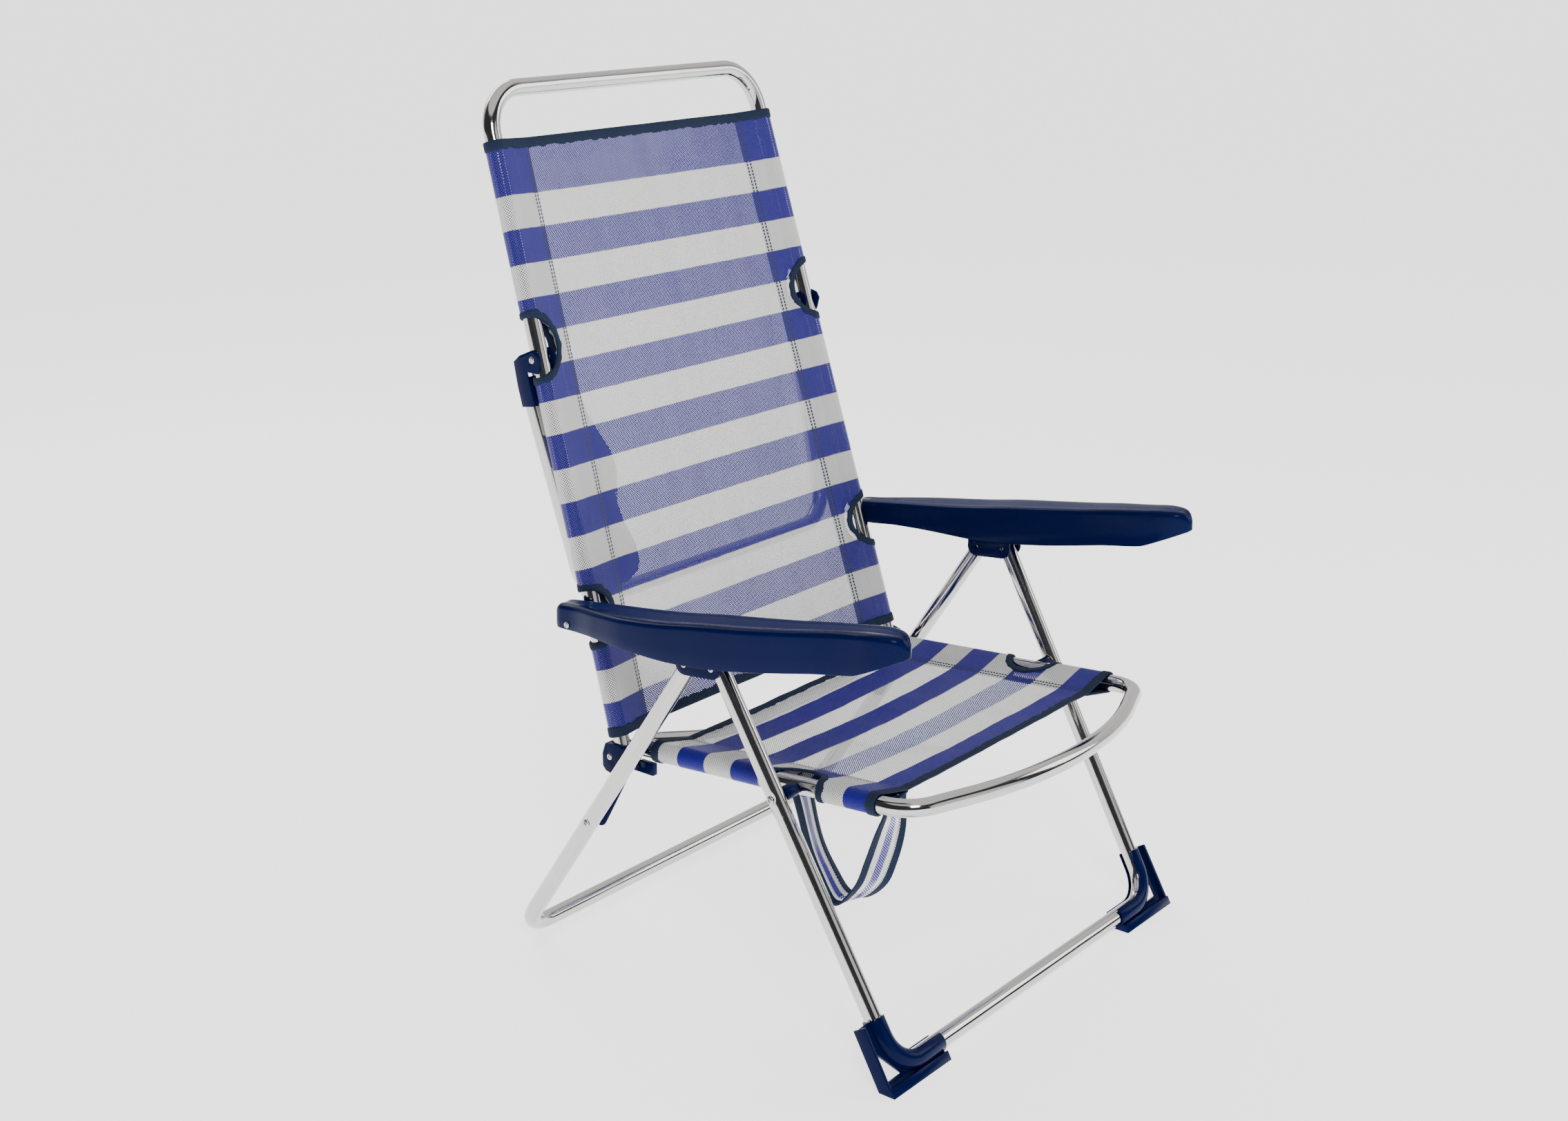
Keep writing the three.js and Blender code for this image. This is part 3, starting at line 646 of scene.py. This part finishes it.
# ---------------------------------------------------------------- camera, light, floor
def camera():
    """In front of the chair, to the sitter's right and above the armrests."""
    data = bpy.data.cameras.new("camera")
    data.sensor_width = 36.0
    data.lens = 3078.6 * 36.0 / 2271.0
    data.clip_end = 100.0
    obj = bpy.data.objects.new("camera", data)
    bpy.context.scene.collection.objects.link(obj)
    yaw, pitch, roll = math.radians(51.17), math.radians(-17.44), math.radians(-0.18)
    look = Vector((math.sin(yaw) * math.cos(pitch), math.cos(yaw) * math.cos(pitch), math.sin(pitch)))
    right = look.cross(Vector((0, 0, 1))).normalized()
    up = right.cross(look)
    turn = Matrix.Rotation(roll, 3, look)
    right, up = turn @ right, turn @ up
    basis = Matrix((right, up, -look)).transposed().to_4x4()
    obj.matrix_world = Matrix.Translation(P(-1883.5, -1524.1, 1201.9)) @ basis
    bpy.context.scene.camera = obj


def area_light(name, place, size, power, target=(0, 0, 0.5)):
    data = bpy.data.lights.new(name, "AREA")
    data.shape = "RECTANGLE"
    data.size, data.size_y = size
    data.energy = power
    obj = bpy.data.objects.new(name, data)
    bpy.context.scene.collection.objects.link(obj)
    obj.location = place
    obj.rotation_euler = (Vector(target) - Vector(place)).to_track_quat("-Z", "Y").to_euler()


def studio():
    """Soft panels that the tubes reflect, three area lights, and a pale floor."""
    world = bpy.data.worlds.new("studio")
    bpy.context.scene.world = world
    g = Graph("studio", world)
    back = g.tree.nodes["Background"]
    way = g.node("ShaderNodeTexCoord").outputs["Generated"]

    def toward(direction, low, high):
        n = g.node("ShaderNodeVectorMath", operation="DOT_PRODUCT")
        g.link(way, n.inputs[0])
        n.inputs[1].default_value = Vector(direction).normalized()
        return g.step(n.outputs["Value"], low, high)

    panels = [toward((0.78, 0.63, 0.15), 0.18, 0.62), toward((0, 0, 1), 0.72, 0.80),
              toward((0.15, -1.0, 0.2), 0.93, 0.95)]
    lit = panels[0]
    for panel in panels[1:]:
        lit = g.math("MAXIMUM", lit, panel)
    around = g.mix(lit, (0.05, 0.053, 0.06), (1.0, 0.99, 0.98))
    seen = g.node("ShaderNodeLightPath").outputs["Is Camera Ray"]
    g.link(g.mix(seen, around, (1.6, 1.6, 1.6)), back.inputs[0])
    back.inputs[1].default_value = 1.05
    area_light("key", (-2.2, -2.2, 2.8), (1.0, 1.0), 70)
    area_light("fill", (2.6, -2.2, 2.0), (1.2, 2.0), 30)
    area_light("rim", (0.6, 2.8, 2.6), (2.4, 1.2), 40)
    mesh = bpy.data.meshes.new("floor")
    size, drop = 60.0, -0.0005
    corners = [(-size, -size, drop), (size, -size, drop), (size, size, drop), (-size, size, drop)]
    mesh.from_pydata(corners, [], [(0, 1, 2, 3)])
    floor = bpy.data.objects.new("floor", mesh)
    bpy.context.scene.collection.objects.link(floor)
    g = Graph("pale_floor")
    tone = g.mix(g.noise(g.position(), 1.5), (0.93, 0.93, 0.93), (0.95, 0.95, 0.95))
    g.set(Base_Color=tone, Roughness=0.7)
    g.bsdf.inputs["Emission Color"].default_value = (1, 1, 1, 1)
    g.bsdf.inputs["Emission Strength"].default_value = 1.5
    mesh.materials.append(g.mat)


camera()
studio()

ALU, STEEL = aluminium(), rivet_steel()
NAVY, NAVY_DARK, TAPE = navy_plastic("navy_plastic"), navy_plastic("navy_bracket", 0.9), binding_tape()
# armrest tops: a rougher grain, and a colour painted lighter as sheen of the light falling on them
NAVY_TOP_PAINTED_SHEEN = navy_plastic("navy_grained_painted_sheen", 1.7, 0.40)


# ---------------------------------------------------------------- lines of the frame
def on_back(s, z):
    """The back tube's axis at height z, on side s."""
    half = BACK_BOT_HALF + (BACK_TOP_HALF - BACK_BOT_HALF) * (z - BACK_BOT.z) / (BACK_TOP.z - BACK_BOT.z)
    return Vector((s * half, BACK_BOT.y + (z - BACK_BOT.z) * BACK_UP.y / BACK_UP.z, z))


def on_seat(x, y):
    """A point of the seat tubes' plane."""
    slope = (SEAT_FRONT_Z - SEAT_REAR_Z) / (SEAT_FRONT_Y - SEAT_REAR_Y)
    return Vector((x, y, SEAT_REAR_Z + slope * (y - SEAT_REAR_Y)))


def on_leg(leg, s, z):
    """A leg's axis at height z, on side s."""
    y0, z0, slope, low, high, bar, top = leg
    return Vector((s * (low + (high - low) * (z - bar) / (top - bar)), y0 + slope * (z - z0), z))


# ---------------------------------------------------------------- frame tubes
def leg_frame(name, leg, top, bar, radius, pin, depth, spread, body, node):
    """A U-shaped leg frame with a dimple at each pin (x, y, z)."""
    corners = [on_leg(leg, 1, top), on_leg(leg, 1, bar), on_leg(leg, -1, bar), on_leg(leg, -1, top)]
    x, y, z = pin
    marks = [((s * x, y, z), (s, 0, 0), depth, spread) for s in (1, -1)]
    piece(tube(name, rounded(corners, [radius, radius]), ALU, dimples=marks), body, "frame", node)


def frame_tubes():
    w = SEAT_HALF
    front = [on_seat(w, -30), on_seat(w, -362), on_seat(110, -411), on_seat(0, -422),
             on_seat(-110, -411), on_seat(-w, -362), on_seat(-w, -30)]
    obj = tube("seat_tube_front", rounded(front, [45, 400, 400, 400, 45]), ALU)
    piece(obj, "seat", "frame", "seat_frame_front")
    dip = Vector((0, 0, SEAT_REAR_DIP))
    rear = [on_seat(w, -29.6), on_seat(w, 44), on_seat(130, -21) - dip, on_seat(-130, -21) - dip,
            on_seat(-w, 44), on_seat(-w, -29.6)]
    obj = tube("seat_tube_rear", rounded(rear, [22, 120, 120, 22]), ALU)
    piece(obj, "seat", "frame", "seat_frame_rear")
    top = BACK_TOP.z + BACK_UP.z * 57.5
    back = [on_back(1, 275), on_back(1, top), on_back(-1, top), on_back(-1, 275)]
    piece(tube("back_tube", rounded(back, [52, 52], 16), ALU), "back", "frame", "back_frame")
    bed = [(238.3, 165.2, 657), (221, 103, 424), (-221, 103, 424), (-238.3, 165.2, 657)]
    piece(tube("bed_leg_tube", rounded(bed, [45, 45]), ALU), "bed_leg", "frame", "bed_leg_frame")
    leg_frame("front_leg_tube", FRONT_LEG, 424.2, 14.2, 40, (283.4, -218, 287), 2.2, 9.0,
              "front_legs", "front_leg_frame")
    leg_frame("rear_leg_tube", REAR_LEG, 420.6, 10, 48, (292.3, 46, 188), 1.6, 8.0,
              "rear_legs", "rear_leg_frame")


def rivets():
    def head(r, rise=1.5):
        """Profile of a formed head of radius r: domed, with a dished middle."""
        return [(2.9, -4.0), (2.9, -0.1), (r - 0.05, -0.1), (r, 0.3 * rise), (0.85 * r, 0.77 * rise),
                (0.6 * r, rise), (0.45 * r, 0.95 * rise), (0.36 * r, 0.6 * rise), (0.3 * r, 0.25 * rise),
                (0.1 * r, 0.2 * rise)]

    spots = [("seat_pivot_rivet", "seat", (282.3, -218, 287), head(4.5, 2.3)),
             ("recline_rivet", "seat", (266.7, 30, 266), head(3.9)),
             ("link_top_rivet", "seat", (269.8, 8, 257), head(4.4, 0.6)),
             ("armrest_rivet", "back", (292.5, 67, 423), head(3.6)),
             ("bed_leg_rivet", "back", (251.7, 150.4, 705), head(3.9)),
             ("hub_front_rivet", "hubs", (291.3, -143.5, 419.7), head(3.6)),
             ("hub_rear_rivet", "hubs", (291.3, -105.2, 416.1), head(3.6)),
             ("link_low_rivet", "rear_legs", (291.3, 46, 188), head(4.5, 2.3))]
    for name, body, (x, y, z), profile in spots:
        for side, s in SIDES:
            obj = lathe_x(f"fine_{name}_{side}", profile, (s * x, y, z), s, STEEL)
            piece(obj, body, "rivet", f"{name}_{side}")


def small_plastic():
    for side, _ in SIDES:
        refined(f"seat_hinge_bracket_{side}", NAVY_DARK, "seat", "plastic", 0.9)
        refined(f"seat_spacer_{side}", NAVY_DARK, "seat", "plastic", 0.7)
        refined(f"back_hinge_cap_{side}", NAVY_DARK, "back", "plastic", 1.2, 3)
        refined(f"bed_leg_bracket_{side}", NAVY_DARK, "bed_leg", "plastic", 0.8)
        refined(f"hub_{side}", NAVY_DARK, "hubs", "plastic", 0.6)
        refined(f"front_foot_{side}", NAVY, "front_legs", "plastic", 0.9)
        refined(f"link_{side}", NAVY_DARK, "links", "plastic", 0.5)


# ---------------------------------------------------------------- armrests
# rows of (y, inner x, outer x, bottom z, top z) from the rear end to the nose
ARM_KEYS = np.array([
    [87, 263.5, 288, 416.5, 441], [84, 261.4, 290, 415.8, 443.2], [60, 261.4, 292.5, 417, 446.5],
    [15, 261.4, 304, 421.5, 452], [-40, 261.4, 314.5, 423.5, 458.5], [-91, 261.4, 317, 424, 465.5],
    [-140, 261.4, 317, 427.5, 474], [-200, 261.4, 315.5, 436, 483], [-250, 261.4, 312.5, 445.5, 491],
    [-292, 261.4, 309.5, 454, 498.5], [-330, 261.5, 305.6, 460, 504.5],
    [-340, 261.6, 305.5, 462.2, 506], [-352, 261.9, 305.6, 467.2, 508],
    [-365, 263.0, 304.4, 473.2, 509.4], [-376, 265.8, 301.6, 478.3, 509.8],
    [-383, 269.0, 298.4, 481.6, 509.2], [-388, 272.6, 294.8, 483.9, 507.4],
    [-391.5, 276.0, 291.4, 485.5, 503.4], [-394, 279.6, 287.8, 486.6, 497.5],
    [-395.2, 282.2, 285.2, 488.2, 492.5]])
# the numbers, within one section, of the edges that make its top; faces there take the rougher navy painted
# lighter as sheen
ARM_TOP = range(16, 23)
# hollows beneath, as (y, z) outlines: round the hub, and round the back tube
ARM_FRONT_HOLLOW = [(-79, 395), (-79, 461), (-140, 470), (-200, 479.5), (-250, 487), (-292, 494),
                    (-328, 499.5), (-332, 494), (-332, 440), (-300, 395)]
ARM_REAR_HOLLOW = [(-74, 395), (-74, 457.5), (10, 448.5), (48, 443.5), (48, 395)]


def arm_section(row):
    """Outline of the armrest at one y, with a faint raised rim round its top."""
    y, x0, x1, z0, z1 = row
    w, h = x1 - x0, z1 - z0
    r = min(6.5, 0.3 * w, 0.32 * h)
    b = min(1.6, 0.2 * r + 0.3)
    pts = [(x0 + b, z0), (x1 - b, z0), (x1 - 0.3 * b, z0 + 0.3 * b), (x1, z0 + b)]
    pts += [(x1, z0 + 0.35 * h), (x1 - 0.2, z0 + 0.6 * h)]
    for k in range(0, 7):
        a = math.pi / 2 * k / 6
        pts.append((x1 - r + r * math.cos(a) - 0.3, z1 - r + r * math.sin(a)))
    lip = min(0.45, 0.015 * w)
    rim = min(7.5, 0.2 * w)
    for f, dz in ((0.55, 0.05), (0.85, -0.35), (1.0, -0.9), (1.2, -1.05)):
        pts.append((x1 - r * 0.9 - rim * f, z1 + dz * lip))
    mid = (x0 + x1) / 2
    pts.append((mid + w * 0.12, z1 - 0.8 * lip))
    pts.append((mid - w * 0.12, z1 - 0.8 * lip))
    for f, dz in ((1.2, -1.05), (1.0, -0.9), (0.85, -0.35), (0.55, 0.05)):
        pts.append((x0 + r * 0.9 + rim * f, z1 + dz * lip))
    for k in range(0, 7):
        a = math.pi / 2 + math.pi / 2 * k / 6
        pts.append((x0 + r + r * math.cos(a) + 0.3, z1 - r + r * math.sin(a)))
    pts += [(x0 + 0.2, z0 + 0.6 * h), (x0, z0 + 0.35 * h), (x0, z0 + b), (x0 + 0.3 * b, z0 + 0.3 * b)]
    return [(x, y, z) for x, z in pts]


def smooth_rows(keys, count=90):
    """More rows between the keys, on a curve without overshoot."""
    t = np.concatenate([[0], np.cumsum(np.abs(np.diff(keys[:, 0])) + 2.0)])
    out = []
    for u in np.linspace(0, t[-1], count):
        i = min(int(np.searchsorted(t, u, side="right")) - 1, len(t) - 2)
        h = t[i + 1] - t[i]
        k = (u - t[i]) / h
        slopes = []
        for j in (i, i + 1):
            if j == 0 or j == len(t) - 1:
                a = min(max(j, 1), len(t) - 1)
                slopes.append((keys[a] - keys[a - 1]) / (t[a] - t[a - 1]))
                continue
            d0 = (keys[j] - keys[j - 1]) / (t[j] - t[j - 1])
            d1 = (keys[j + 1] - keys[j]) / (t[j + 1] - t[j])
            both = np.where(d0 * d1 > 0, 2 * d0 * d1 / np.where(d0 + d1 == 0, 1, d0 + d1), 0.0)
            slopes.append(both)
        h00, h10 = 2 * k**3 - 3 * k**2 + 1, k**3 - 2 * k**2 + k
        h01, h11 = -2 * k**3 + 3 * k**2, k**3 - k**2
        out.append(h00 * keys[i] + h10 * h * slopes[0] + h01 * keys[i + 1] + h11 * h * slopes[1])
    return out


def prism_x(outline, x0, x1):
    """A cutter with a (y, z) outline."""
    n = len(outline)
    verts = [P(x, y, z) for x in (x0, x1) for y, z in outline]
    faces = [tuple(range(n)), tuple(range(2 * n - 1, n - 1, -1))]
    faces += [(k, k + n, (k + 1) % n + n, (k + 1) % n) for k in range(n)]
    obj = make("cutter", verts, faces, NAVY, smooth=False)
    fix_normals(obj)
    return obj


def subtract(obj, cutters):
    for cutter in cutters:
        mod = obj.modifiers.new("cut", "BOOLEAN")
        mod.operation, mod.solver, mod.object = "DIFFERENCE", "EXACT", cutter
    apply_modifiers(obj)
    for cutter in cutters:
        bpy.data.objects.remove(cutter)


def armrest(side, s):
    sections = [arm_section(row) for row in smooth_rows(ARM_KEYS)]
    n, m = len(sections[0]), len(sections)
    verts = [P(s * x, y, z) for sec in sections for x, y, z in sec]
    faces = [(i * n + k, i * n + (k + 1) % n, (i + 1) * n + (k + 1) % n, (i + 1) * n + k)
             for i in range(m - 1) for k in range(n)]
    faces += [tuple(range(n))[::-1], tuple((m - 1) * n + k for k in range(n))]
    obj = make(f"fine_armrest_{side}", verts, faces, NAVY)
    obj.data.materials.append(NAVY_TOP_PAINTED_SHEEN)
    # top faces take the second material: rougher, with painted sheen making them lighter
    for face in obj.data.polygons[:(m - 1) * n]:
        if face.index % n in ARM_TOP and 3 < face.index // n < m - 5:
            face.material_index = 1
    fix_normals(obj)
    wide = sorted((s * 263.6, s * 300.5))
    narrow = sorted((s * 264.0, s * 287.0))
    subtract(obj, [prism_x(ARM_FRONT_HOLLOW, *wide), prism_x(ARM_REAR_HOLLOW, *narrow)])
    smooth_by_angle(obj, 32)
    piece(obj, f"armrest_{side}", "plastic", f"armrest_{side}")


# ---------------------------------------------------------------- cloths
# the raw edge under the back cloth, on the -X side, as (share of the length, reach past the seam)
BACK_FLAP = ((0.45, 0), (0.50, 14), (0.53, 31), (0.575, 34), (0.61, 24), (0.655, 27), (0.70, 39),
             (0.735, 42), (0.757, 24), (0.765, 0))
BACK_STRIPES = 16
SEAT_STRIPES = 8


def panel_pieces(panel, name, mat, holes, body, node, tapes):
    """The cloth of a panel and its binding tapes, all riding on one body."""
    prefix, first, last = tapes
    obj, area = panel.cloth(name, mat, holes)
    parts = [panel.tape(first, panel.edge_path(0.0, 1.0), TAPE, False, TAPE_WIDTH, TAPE_PUCKER),
             panel.tape(last, panel.edge_path(panel.length, -1.0), TAPE, False, TAPE_WIDTH, TAPE_PUCKER)]
    for side, s in SIDES:
        for k, (v, a, b) in enumerate(holes):
            label = f"{prefix}_{side}" + (f"_{k}" if len(holes) > 1 else "")
            path = panel.oval_path(s, v, a, b)
            parts.append(panel.tape(label, path, TAPE, True, OVAL_TAPE_WIDTH, OVAL_TAPE_PUCKER))
    piece(obj, body, "mesh_cloth", node)
    for part in parts:
        piece(part, body, "strap")


def back_cloth():
    front = Vector((0, -BACK_UP.z, BACK_UP.y))
    panel = Panel(BACK_TOP, -BACK_UP, front, BACK_TOP_HALF, BACK_BOT_HALF, BACK_LEN, 3.0, 1.7, 1.6,
                  BACK_FLAP)
    mat = mesh_cloth("back_mesh", BACK_LEN * 0.09 / 1000, BACK_LEN * 0.91 / BACK_STRIPES / 1000,
                     panel.doubled, seam=panel.mid / 1000)
    holes = [(0.34 * BACK_LEN, 43.0, 35.0), (0.795 * BACK_LEN, 42.0, 31.0)]
    panel_pieces(panel, "back_mesh_cloth", mat, holes, "back", "back_cloth",
                 ("back_tape", "back_tape_top", "back_tape_bottom"))


def seat_cloth():
    start, end = on_seat(0, SEAT_FRONT_Y), on_seat(0, SEAT_REAR_Y)
    along = (end - start).normalized()
    up = Vector((1, 0, 0)).cross(along)
    length = (end - start).length
    panel = Panel(start, along, up, SEAT_HALF, SEAT_HALF, length, 6.0, 4.3, 1.4)
    pitch = length / SEAT_STRIPES / 1000
    bands = [(0.0, pitch), (4 * pitch, 5 * pitch), (6 * pitch, 7 * pitch)]
    mat = mesh_cloth("seat_mesh", pitch, pitch, panel.doubled, bands, panel.mid / 1000, openness=0.34,
                     dense=0.66, gloss=0.12)
    holes = [(length + SEAT_HOLE_Y - SEAT_REAR_Y, 43.0, 33.0)]
    panel_pieces(panel, "seat_mesh_cloth", mat, holes, "seat", "seat_cloth",
                 ("seat_tape", "seat_tape_front", "seat_tape_rear"))


def ribbon(name, line, across, low, high, thick, mat, samples=90):
    """A strip of cloth along a smooth line, from low to high across it."""
    line = [Vector(p) for p in line]
    cuts = [0.0]
    for a, b in zip(line, line[1:]):
        cuts.append(cuts[-1] + (b - a).length)

    def spot(t):
        after = next((k for k, c in enumerate(cuts) if c > t), len(cuts) - 1)
        i = min(max(after - 1, 0), len(line) - 2)
        k = (t - cuts[i]) / (cuts[i + 1] - cuts[i])
        p0, p1 = line[max(i - 1, 0)], line[i]
        p2, p3 = line[i + 1], line[min(i + 2, len(line) - 1)]
        return 0.5 * ((2 * p1) + (p2 - p0) * k + (2 * p0 - 5 * p1 + 4 * p2 - p3) * k * k
                      + (3 * p1 - p0 - 3 * p2 + p3) * k**3)

    verts, uvs, faces = [], [], []
    for i in range(samples + 1):
        t = cuts[-1] * i / samples
        a, b = spot(max(t - 1, 0)), spot(min(t + 1, cuts[-1]))
        side = across(i / samples)
        normal = (b - a).normalized().cross(side).normalized()
        for x, o in ((low, thick), (high, thick), (high, -thick), (low, -thick)):
            curl = 2.2 * math.sin(math.pi * (x + 18) / 36)
            verts.append(P(*(spot(t) + side * x + normal * (o + curl))))
            uvs.append((t / 1000, x / 1000))
    for i in range(samples):
        for k in range(4):
            faces.append((i * 4 + k, (i + 1) * 4 + k, (i + 1) * 4 + (k + 1) % 4, i * 4 + (k + 1) % 4))
    faces += [(0, 1, 2, 3), tuple(samples * 4 + k for k in (3, 2, 1, 0))]
    obj = make(name, verts, faces, mat, uvs)
    fix_normals(obj)
    smooth_by_angle(obj, 50)
    return obj, cuts[-1]


def carry_strap():
    line = [(-200, -191, 284), (-200, -198, 258), (-201, -215, 206), (-202, -237, 171),
            (-203, -250, 157), (-203, -261, 154), (-202, -273, 159), (-200, -292, 182),
            (-199, -303, 211), (-199, -312, 240), (-200, -319.5, 270), (-200, -321, 292.5)]

    def across(t):
        """The strap's width direction, twisted a little on each side of its lowest point."""
        front = max(0.0, math.sin(math.pi * min(max((t - 0.45) / 0.5, 0), 1)))
        rear = max(0.0, math.sin(math.pi * min(max(t / 0.45, 0), 1)))
        return Vector((1, 0.2 * rear - 0.8 * front, 0.0)).normalized()

    mat = mesh_cloth("strap_mesh", -0.0125, 0.0083, NOWHERE)
    body, length = ribbon("strap_mesh_cloth", line, across, -15, 15, 0.6, mat)
    edges = [ribbon("strap_tape_a", line, across, -18.5, -10.5, 1.3, TAPE)[0],
             ribbon("strap_tape_b", line, across, 10.5, 18.5, 1.3, TAPE)[0]]
    piece(body, "seat", "mesh_cloth", "carry_strap")
    for edge in edges:
        piece(edge, "seat", "strap")


frame_tubes()
rivets()
small_plastic()
for label, sign in SIDES:
    armrest(label, sign)
back_cloth()
seat_cloth()
carry_strap()
